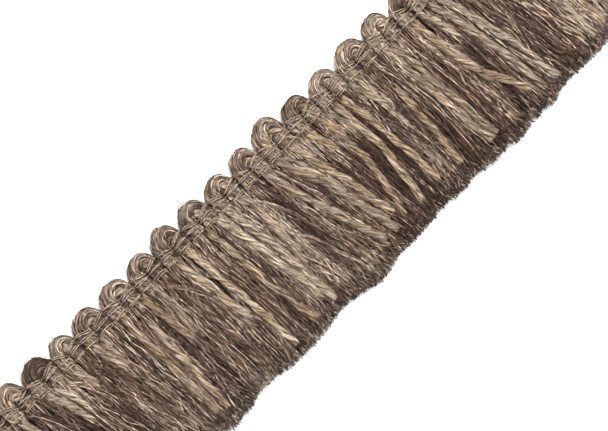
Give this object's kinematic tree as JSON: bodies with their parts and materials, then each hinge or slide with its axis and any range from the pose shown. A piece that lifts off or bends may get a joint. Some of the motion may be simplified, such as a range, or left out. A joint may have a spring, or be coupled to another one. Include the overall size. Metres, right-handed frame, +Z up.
{
  "type": "brush fringe trim",
  "caption": "Cut length of thick brush fringe with a looped, thread-bound heading and a deep skirt of fine yarn, lying face up.",
  "frame": {"origin": "the middle of the heading's flat back, under the middle row of binding thread", "axes": "+X along the trim, +Y from the skirt to the loops, +Z up out of the face"},
  "size_m": [0.195, 0.0476, 0.0078],
  "materials": {
    "looped_yarn": "silky fine yarn in beige, taupe and dark brown",
    "binding_thread": "dull light taupe thread",
    "dark_skirt_yarn": "silky dark brown yarn",
    "mixed_skirt_yarn": "silky dark brown and taupe yarn with plied beige and tan yarn"
  },
  "bodies": {
    "root": {"heading": "looped_yarn", "binding_row_top": "binding_thread", "binding_row_middle": "binding_thread", "binding_row_bottom": "binding_thread", "skirt_back": "dark_skirt_yarn", "skirt_middle": "dark_skirt_yarn", "skirt_front": "mixed_skirt_yarn"}
  },
  "joints": []
}
